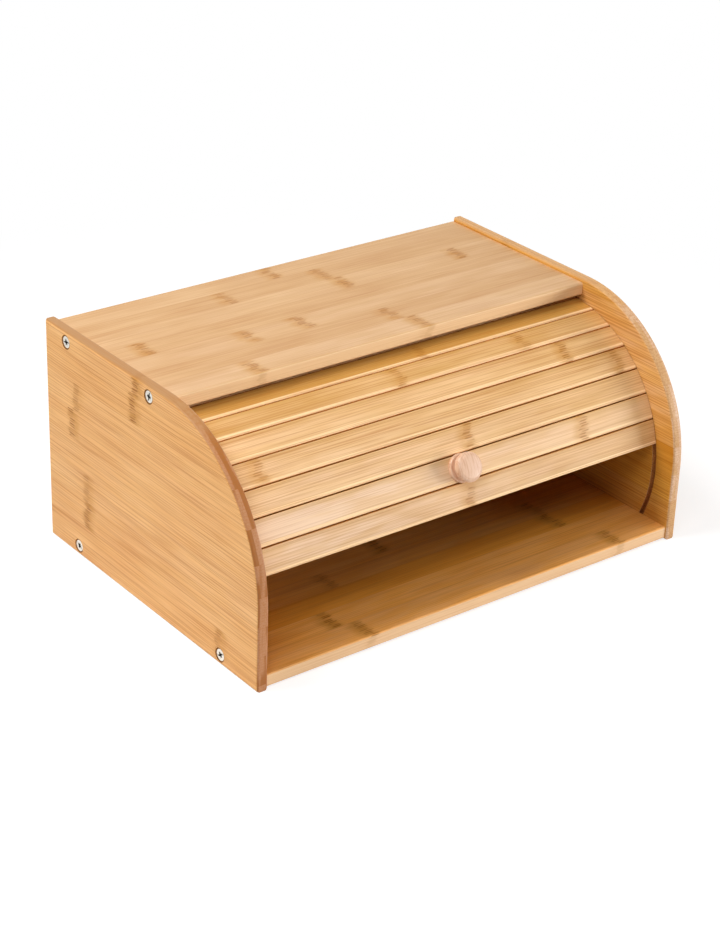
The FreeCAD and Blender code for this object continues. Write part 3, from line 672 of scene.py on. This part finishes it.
class BREADBOX_OT_stage(bpy.types.Operator):
    """Set up the pale floor, the soft lights and the camera"""

    bl_idname = "breadbox.stage"
    bl_label = "Stage"

    def execute(self, context):
        scene = context.scene
        scene.view_settings.view_transform = "Standard"

        # floor: white to the eye, but near the box it keeps its soft shadow
        material = bpy.data.materials.new("studio_floor")
        add = cleared(material)
        plain = add("BsdfDiffuse", {"Color": (0.9, 0.9, 0.9, 1)})
        shadowed = add("BsdfDiffuse", {"Color": (0.4, 0.4, 0.4, 1)})
        glow = add("Emission", {"Color": (1, 1, 1, 1), "Strength": 0.74})
        near = add("AddShader", {0: shadowed, 1: glow})
        white = add("Emission", {"Color": (1, 1, 1, 1), "Strength": 1.0})
        place = add("TexCoord").outputs["Object"]
        reach = add("VectorMath", {0: place}, operation="LENGTH").outputs["Value"]
        far = add("MapRange", {0: reach, 1: 0.25, 2: 0.7}, **SOFT)
        bright = add("MixShader", {0: far, 1: near, 2: white})
        surface = add("MixShader", {0: seen_by_the_eye(add), 1: plain, 2: bright})
        add("OutputMaterial", {"Surface": surface})
        half_side = 4
        bm = bmesh.new()
        bmesh.ops.create_grid(bm, x_segments=1, y_segments=1, size=half_side)
        mesh = mesh_of("floor", bm)
        mesh.materials.append(material)
        floor = bpy.data.objects.new("floor", mesh)
        scene.collection.objects.link(floor)

        # world: white to the eye and in reflections, and a soft grey light from all sides
        world = bpy.data.worlds.new("studio")
        scene.world = world
        add = cleared(world)
        sockets = {0: seen_by_the_eye(add), 2: 0.08, 3: 1.0}
        strength = add("Mix", sockets, data_type="FLOAT")
        sky = add("Background", {"Color": (1, 1, 1, 1), "Strength": strength})
        add("OutputWorld", {"Surface": sky})

        # soft boxes: the brightest high up behind on the left, a low one on the right, and
        # two weaker ones high in front
        for name, spot, width, height, power in (
            ("soft_box_key", Vector((-1.0, 0.55, 1.9)), 1.1, 1.1, 42),
            ("soft_box_right", Vector((2.05, -1.5, 0.31)), 1.4, 0.5, 46),
            ("soft_box_left", Vector((-1.3, -1.0, 1.8)), 1.0, 1.0, 15),
            ("soft_box_front", Vector((0.5, -1.45, 1.9)), 1.0, 1.0, 6),
        ):
            lamp = bpy.data.lights.new(name, "AREA")
            lamp.shape = "RECTANGLE"
            lamp.size = width
            lamp.size_y = height
            lamp.energy = power
            light = bpy.data.objects.new(name, lamp)
            scene.collection.objects.link(light)
            light.location = spot
            aim = Vector((0, 0, 0.08)) - spot
            light.rotation_euler = aim.to_track_quat("-Z", "Y").to_euler()

        # camera: a little over the box, from its left front
        azimuth, rise, roll = (math.radians(a) for a in (-38.325, 26.921, 2.133))
        target, distance = Vector((-0.009555, -0.002510, 0.064453)), 1.673833
        camera = bpy.data.objects.new("camera", bpy.data.cameras.new("camera"))
        scene.collection.objects.link(camera)
        camera.data.lens = 87.14
        camera.data.sensor_width = 36
        camera.data.clip_start = 0.05
        turn = Matrix.Rotation(azimuth, 4, "Z") @ Matrix.Rotation(math.pi / 2 - rise, 4, "X")
        turn = turn @ Matrix.Rotation(roll, 4, "Z")
        camera.matrix_world = (
            Matrix.Translation(target) @ turn @ Matrix.Translation((0, 0, distance))
        )
        scene.camera = camera
        return {"FINISHED"}


class BREADBOX_OT_side_panels(bpy.types.Operator):
    """Make the side panels, with rounded edges and eased grooves"""

    bl_idname = "breadbox.side_panels"
    bl_label = "Side Panels"

    def execute(self, context):
        sizes = context.scene.bread_box_sizes
        colours = context.scene.bread_box_colours
        routed = bare_bamboo("routed_bamboo", colours.routed)
        # the screw holes get a dark colour as painted shade round the heads
        hole_shade = bare_bamboo("hole_shade_bamboo", colours.hole_shade)
        # the tracks end above the foot, and faces meet at a corner where they turn further
        foot, corner = 8 * MM, math.radians(60)
        for side in ("left", "right"):
            node = f"side_{side}"
            holes = [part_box(name) for name in SCREW_SETS if side in name]
            low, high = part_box(node)
            inner, outer = (high.x, low.x) if side == "left" else (low.x, high.x)

            def at_hole(place):
                return any(
                    low.y - MM < place.y < high.y + MM and low.z - MM < place.z < high.z + MM
                    for low, high in holes
                )

            def in_track(place):
                reach = math.hypot(place.y - TRACK.y, place.z - TRACK.z)
                return reach < sizes.slat_face + MM and place.z > low.z + foot

            def middle(edge):
                return (edge.verts[0].co + edge.verts[1].co) / 2

            def level(edge, face):
                return all(abs(end.co.x - face) < NEAR for end in edge.verts)

            def on_outline(edge):
                return edge.calc_face_angle() < corner and not at_hole(middle(edge))

            def on_groove(edge):
                return level(edge, inner) and edge.calc_face_angle() > corner

            def on_mouth(edge):
                return level(edge, outer) and at_hole(middle(edge))

            bm = merged_copy(node)
            ease(bm, on_outline, sizes.side_round, 3)
            ease(bm, on_groove, sizes.groove_round, 2)
            ease(bm, on_mouth, sizes.mouth_round, 1)
            for face in bm.faces:
                place = face.calc_center_median()
                below = abs(place.x - inner) > sizes.groove_round
                if below and abs(place.x - outer) > 2 * NEAR:
                    # the rims and walls of the screw holes take the painted shade
                    if at_hole(place):
                        face.material_index = 2
                    elif in_track(place):
                        face.material_index = 1
            tones = [f"{side}_{tone}" for tone in ("pale", "deep", "edge", "edge_pale", "top")]
            materials = [board_bamboo(node, tones), routed, hole_shade]
            finished(f"{node}_panel", bm, materials, CASE, node)
        return {"FINISHED"}


class BREADBOX_OT_boards(bpy.types.Operator):
    """Make the top and bottom boards with eased edges, and finish the back panel"""

    bl_idname = "breadbox.boards"
    bl_label = "Boards and Back"

    def execute(self, context):
        reach = context.scene.bread_box_sizes.board_round
        for side in ("top", "bottom"):
            node, front = f"{side}_board", f"{side}_front"
            bm = merged_copy(node)
            # the rims of the screw holes have short edges, and stay as they are
            ease(bm, lambda edge: edge.calc_length() > 7 * MM, reach, 3)
            material = board_bamboo(node, (f"{side}_pale", f"{side}_deep", front, front, front))
            finished(f"{node}_plank", bm, [material], CASE, node)
        back = frame["nodes"]["back_panel"]
        back.data.materials.clear()
        back.data.materials.append(board_bamboo("back_panel", ("back_pale", "back_deep")))
        return {"FINISHED"}


class BREADBOX_OT_slats(bpy.types.Operator):
    """Make the slats of the door, each with rounded long edges and a tongue at both ends"""

    bl_idname = "breadbox.slats"
    bl_label = "Slats"

    def execute(self, context):
        sizes = context.scene.bread_box_sizes
        materials = [
            board_bamboo("slats", ("slat_pale", "slat_deep")),
            bare_bamboo("sawn_bamboo", context.scene.bread_box_colours.sawn),
        ]
        strip = LAMELLAS["slats"][1]
        for index, node in enumerate(SLATS):
            low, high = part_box(node)
            length = high.x - low.x - 2 * sizes.tongue_length
            bm = bmesh.new()
            bmesh.ops.create_cube(bm, size=1)
            bmesh.ops.scale(
                bm, vec=(length, sizes.slat_thickness, sizes.slat_width), verts=bm.verts
            )
            # a slat flares towards its face, so that the gaps look thin
            for corner in bm.verts:
                if corner.co.y < 0:
                    corner.co.z += math.copysign(sizes.slat_flare / 2, corner.co.z)
            ends = [face for face in bm.faces if abs(face.normal.x) > 0.5]
            bmesh.ops.inset_individual(
                bm, faces=ends, thickness=(sizes.slat_thickness - sizes.tongue_thickness) / 2
            )
            roots = {corner for face in ends for corner in face.verts}
            for corner in roots:
                corner.co.z = math.copysign(sizes.tongue_width / 2, corner.co.z)
            for face in ends:
                outward = face.normal.x
                grown = bmesh.ops.extrude_face_region(bm, geom=[face])
                tip = [part for part in grown["geom"] if isinstance(part, bmesh.types.BMVert)]
                reach = Vector((math.copysign(sizes.tongue_length, outward), 0, 0))
                bmesh.ops.translate(bm, vec=reach, verts=tip)
                bmesh.ops.delete(bm, geom=[face], context="FACES_ONLY")
            front = -sizes.slat_thickness / 2
            half = (sizes.slat_width + sizes.slat_flare) / 2
            for height, reach in ((-half, sizes.slat_round), (half, sizes.slat_upper_round)):
                border = Vector((front, height))
                edges = [
                    edge
                    for edge in bm.edges
                    if edge.calc_length() > length / 2
                    and all((end.co.yz - border).length < NEAR for end in edge.verts)
                ]
                rounded(bm, edges, reach, 6)
            bmesh.ops.recalc_face_normals(bm, faces=bm.faces)
            # the long sides, in the gaps, are bare
            for face in bm.faces:
                if abs(face.normal.z) > 0.9:
                    face.material_index = 1
            remember_grain(bm, Vector((0, (index + 0.5) * strip, 0)))
            middle = sizes.slat_face - sizes.slat_thickness / 2
            bmesh.ops.translate(bm, vec=(0, -middle, 0), verts=bm.verts)
            onto_track(bm, slat_angle(node))
            finished(f"{node}_strip", bm, materials, DOOR, node)
        return {"FINISHED"}


class BREADBOX_OT_canvas(bpy.types.Operator):
    """Make the canvas that is glued to the inner faces of the slats"""

    bl_idname = "breadbox.canvas"
    bl_label = "Canvas"

    def execute(self, context):
        sizes = context.scene.bread_box_sizes
        low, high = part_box("tambour_canvas")
        angles = [slat_angle(node) for node in SLATS]
        pitch = (angles[-1] - angles[0]) / (len(angles) - 1)
        glue = 0.05 * MM
        inner = sizes.slat_face - sizes.slat_thickness - glue
        fold = inner / math.cos(pitch / 2)
        strip = 2 * inner * math.tan(pitch / 2)
        bm = bmesh.new()
        corners = [bm.verts.new((x, -fold, 0)) for x in (low.x, high.x)]
        first = bm.edges.new(corners)
        onto_track(bm, angles[0] - pitch / 2)
        bmesh.ops.spin(
            bm,
            geom=[first],
            cent=TRACK,
            axis=AXIS,
            dvec=Vector(),
            angle=pitch * len(angles),
            steps=len(angles),
            use_merge=False,
            use_duplicate=False,
        )
        bmesh.ops.recalc_face_normals(bm, faces=bm.faces)
        layer = bm.loops.layers.uv.new("UVMap")
        for face in bm.faces:
            for loop in face.loops:
                place = loop.vert.co - TRACK
                turned = math.atan2(place.z, -place.y) - (angles[0] - pitch / 2)
                loop[layer].uv = (place.x - low.x, round(turned / pitch) * strip)
        if sum(face.normal.dot(face.calc_center_median() - TRACK) for face in bm.faces) < 0:
            bmesh.ops.reverse_faces(bm, faces=bm.faces)
        cloth = finished(
            "canvas_backing", bm, [woven_canvas()], DOOR, "tambour_canvas", sharp=5
        )
        thick = cloth.modifiers.new("thickness", "SOLIDIFY")
        thick.thickness = sizes.canvas_thickness
        thick.offset = -1
        return {"FINISHED"}


class BREADBOX_OT_knob(bpy.types.Operator):
    """Turn the knob: a thin flange, a hollow neck and a domed head"""

    bl_idname = "breadbox.knob"
    bl_label = "Knob"

    def execute(self, context):
        sizes = context.scene.bread_box_sizes
        # half profile: radius, height over the slat and how much each corner is rounded
        dome = sizes.knob_dome / MM
        profile = [
            (0, 0, 0),
            (10.6, 0, 0.3),
            (10.6, 2.9, 0.9),
            (6.6, 3.2, 1.2),
            (6.6, 6.8, 1.1),
            (10.4, 7.2, 0.5),
            (10.9, 8.3, 0.3),
            (10.5, 8.8, 0.19),
            (11.0, 9.4, 0.4),
            (11.0, 11.6, 1.2),
            (9.3, dome - 0.9, 0.3),
            (8.9, dome - 1.1, 0.1),
            (8.5, dome - 0.7, 0.3),
            (0, dome, 0),
        ]
        bm = bmesh.new()
        corners = [bm.verts.new((r * MM, -h * MM, 0)) for r, h, _ in profile]
        for a, b in zip(corners, corners[1:]):
            bm.edges.new((a, b))
        for corner, (_, _, reach) in zip(corners, profile):
            if reach:
                rounded(bm, [corner], reach * MM, 5, "VERTICES")
        bmesh.ops.spin(
            bm,
            geom=bm.verts[:] + bm.edges[:],
            cent=Vector(),
            axis=(0, 1, 0),
            dvec=Vector(),
            angle=2 * math.pi,
            steps=64,
            use_merge=True,
            use_duplicate=False,
        )
        bmesh.ops.remove_doubles(bm, verts=bm.verts, dist=0.005 * MM)
        bmesh.ops.recalc_face_normals(bm, faces=bm.faces)
        remember_grain(bm)
        bmesh.ops.translate(bm, vec=(0, -sizes.slat_face, 0), verts=bm.verts)
        onto_track(bm, slat_angle(KNOB_SLAT))
        finished("turned_knob", bm, [turned_wood()], DOOR, "knob", sharp=60)
        return {"FINISHED"}


def cross_head_screw(bm, head, rings):
    """A screw along +Y whose head, of that radius, faces -Y and has a cross recess. Rings
    gives the radius and the depth of every ring below the head's rim."""
    grid = bmesh.ops.create_grid(bm, x_segments=3, y_segments=3, size=1)["verts"]
    arm, half_width, depth = head * 0.5, head * 0.13, head * 0.4
    for corner in grid:
        x, y = (math.copysign(arm if abs(c) > 0.5 else half_width, c) for c in corner.co[:2])
        corner.co = (x, 0, y)
    faces = {face for corner in grid for face in corner.link_faces}
    waste = [
        face
        for face in faces
        if min(abs(face.calc_center_median().x), abs(face.calc_center_median().z)) > half_width
    ]
    bmesh.ops.delete(bm, geom=waste, context="FACES")
    cross = list(faces - set(waste))
    rim_of_cross = [edge for face in cross for edge in face.edges if edge.is_boundary]
    circle = bmesh.ops.create_circle(bm, segments=32, radius=head)["verts"]
    for corner in circle:
        corner.co = (corner.co.x, 0, corner.co.y)
    rim = list({edge for corner in circle for edge in corner.link_edges})
    bmesh.ops.bridge_loops(bm, edges=rim_of_cross + rim)
    pushed = bmesh.ops.extrude_face_region(bm, geom=cross)["geom"]
    floor = [part for part in pushed if isinstance(part, bmesh.types.BMVert)]
    bmesh.ops.delete(bm, geom=cross, context="FACES_ONLY")
    bmesh.ops.scale(bm, vec=(0.7, 1, 0.7), verts=floor)
    bmesh.ops.translate(bm, vec=(0, depth, 0), verts=floor)
    for radius, place in rings:
        grown = bmesh.ops.extrude_edge_only(bm, edges=rim)["geom"]
        rim = [part for part in grown if isinstance(part, bmesh.types.BMEdge)]
        ring = [part for part in grown if isinstance(part, bmesh.types.BMVert)]
        rim = [edge for edge in rim if all(corner in ring for corner in edge.verts)]
        for corner in ring:
            flat = Vector((corner.co.x, 0, corner.co.z)).normalized() * radius
            corner.co = (flat.x, place, flat.z)
    bmesh.ops.contextual_create(bm, geom=rim)


class BREADBOX_OT_screws(bpy.types.Operator):
    """Make the countersunk screws of the sides and the pan-head screw of the knob"""

    bl_idname = "breadbox.screws"
    bl_label = "Screws"

    def execute(self, context):
        material = zinc_plated_steel()
        for node in SCREW_SETS:
            low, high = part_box(node)
            outward = -1 if "left" in node else 1
            head = (high.z - low.z) / 2
            length = high.x - low.x
            face = low.x if outward < 0 else high.x
            whole = bmesh.new()
            for number, y in enumerate((low.y + head, high.y - head)):
                bm = bmesh.new()
                shank, tip, point = head * 0.47, 3 * MM, 0.2 * MM
                rings = [(shank, head - shank), (shank, length - tip), (point, length)]
                cross_head_screw(bm, head, rings)
                # no two screws stop at the same turn
                turn = Matrix.Rotation(0.35 + 1.1 * number + 0.7 * low.z / MM, 4, "Y")
                aim = Matrix.Rotation(outward * math.pi / 2, 4, "Z")
                seat = Matrix.Translation((face, y, (low.z + high.z) / 2))
                bmesh.ops.transform(bm, matrix=seat @ aim @ turn, verts=bm.verts)
                bmesh.ops.recalc_face_normals(bm, faces=bm.faces)
                part = mesh_of("screw", bm)
                whole.from_mesh(part)
                bpy.data.meshes.remove(part)
            finished(f"{node}_pair", whole, [material], CASE, node, sharp=30)

        sizes = context.scene.bread_box_sizes
        bm = bmesh.new()
        # a rounded head with a flat underside, the shank and its point
        head, shank, thick = 3.6 * MM, 1.7 * MM, 2.2 * MM
        rings = [
            (head - 0.3 * MM, 0.25 * MM),
            (head, 0.8 * MM),
            (head, thick),
            (shank, thick),
            (shank, 15 * MM),
            (0.4 * MM, 17.2 * MM),
        ]
        cross_head_screw(bm, head - MM, rings)
        # its head lies on the canvas, inside the door, and its point looks outwards
        play = 0.1 * MM
        seat = sizes.slat_face - sizes.slat_thickness - sizes.canvas_thickness - play - thick
        turn = Matrix.Translation((0, -seat, 0)) @ Matrix.Rotation(math.pi, 4, "X")
        bmesh.ops.transform(bm, matrix=turn, verts=bm.verts)
        onto_track(bm, slat_angle(KNOB_SLAT))
        bmesh.ops.recalc_face_normals(bm, faces=bm.faces)
        finished("knob_pan_screw", bm, [material], DOOR, "knob_screw", sharp=30)
        return {"FINISHED"}


class BREADBOX_PT_panel(bpy.types.Panel):
    """Lists the steps that finish the bread box"""

    bl_idname = "BREADBOX_PT_panel"
    bl_label = "Bamboo Bread Box"
    bl_space_type = "VIEW_3D"
    bl_region_type = "UI"
    bl_category = "Bread Box"

    def draw(self, context):
        for step in OPERATORS:
            self.layout.operator(step.bl_idname)
        for group in (context.scene.bread_box_sizes, context.scene.bread_box_colours):
            box = self.layout.box()
            for name in group.__annotations__:
                box.prop(group, name)


OPERATORS = (
    BREADBOX_OT_stage,
    BREADBOX_OT_side_panels,
    BREADBOX_OT_boards,
    BREADBOX_OT_slats,
    BREADBOX_OT_canvas,
    BREADBOX_OT_knob,
    BREADBOX_OT_screws,
)
CLASSES = (BreadBoxSizes, BreadBoxColours, *OPERATORS, BREADBOX_PT_panel)


def register():
    """Register the classes and give the scene their properties."""
    for kind in CLASSES:
        bpy.utils.register_class(kind)
    bpy.types.Scene.bread_box_sizes = bpy.props.PointerProperty(type=BreadBoxSizes)
    bpy.types.Scene.bread_box_colours = bpy.props.PointerProperty(type=BreadBoxColours)


def unregister():
    """Take the properties and the classes away again."""
    del bpy.types.Scene.bread_box_colours
    del bpy.types.Scene.bread_box_sizes
    for kind in reversed(CLASSES):
        bpy.utils.unregister_class(kind)


def main():
    """Finish the whole bread box."""
    register()
    bpy.ops.breadbox.stage()
    bpy.ops.breadbox.side_panels()
    bpy.ops.breadbox.boards()
    bpy.ops.breadbox.slats()
    bpy.ops.breadbox.canvas()
    bpy.ops.breadbox.knob()
    bpy.ops.breadbox.screws()


if __name__ == "__main__":
    main()
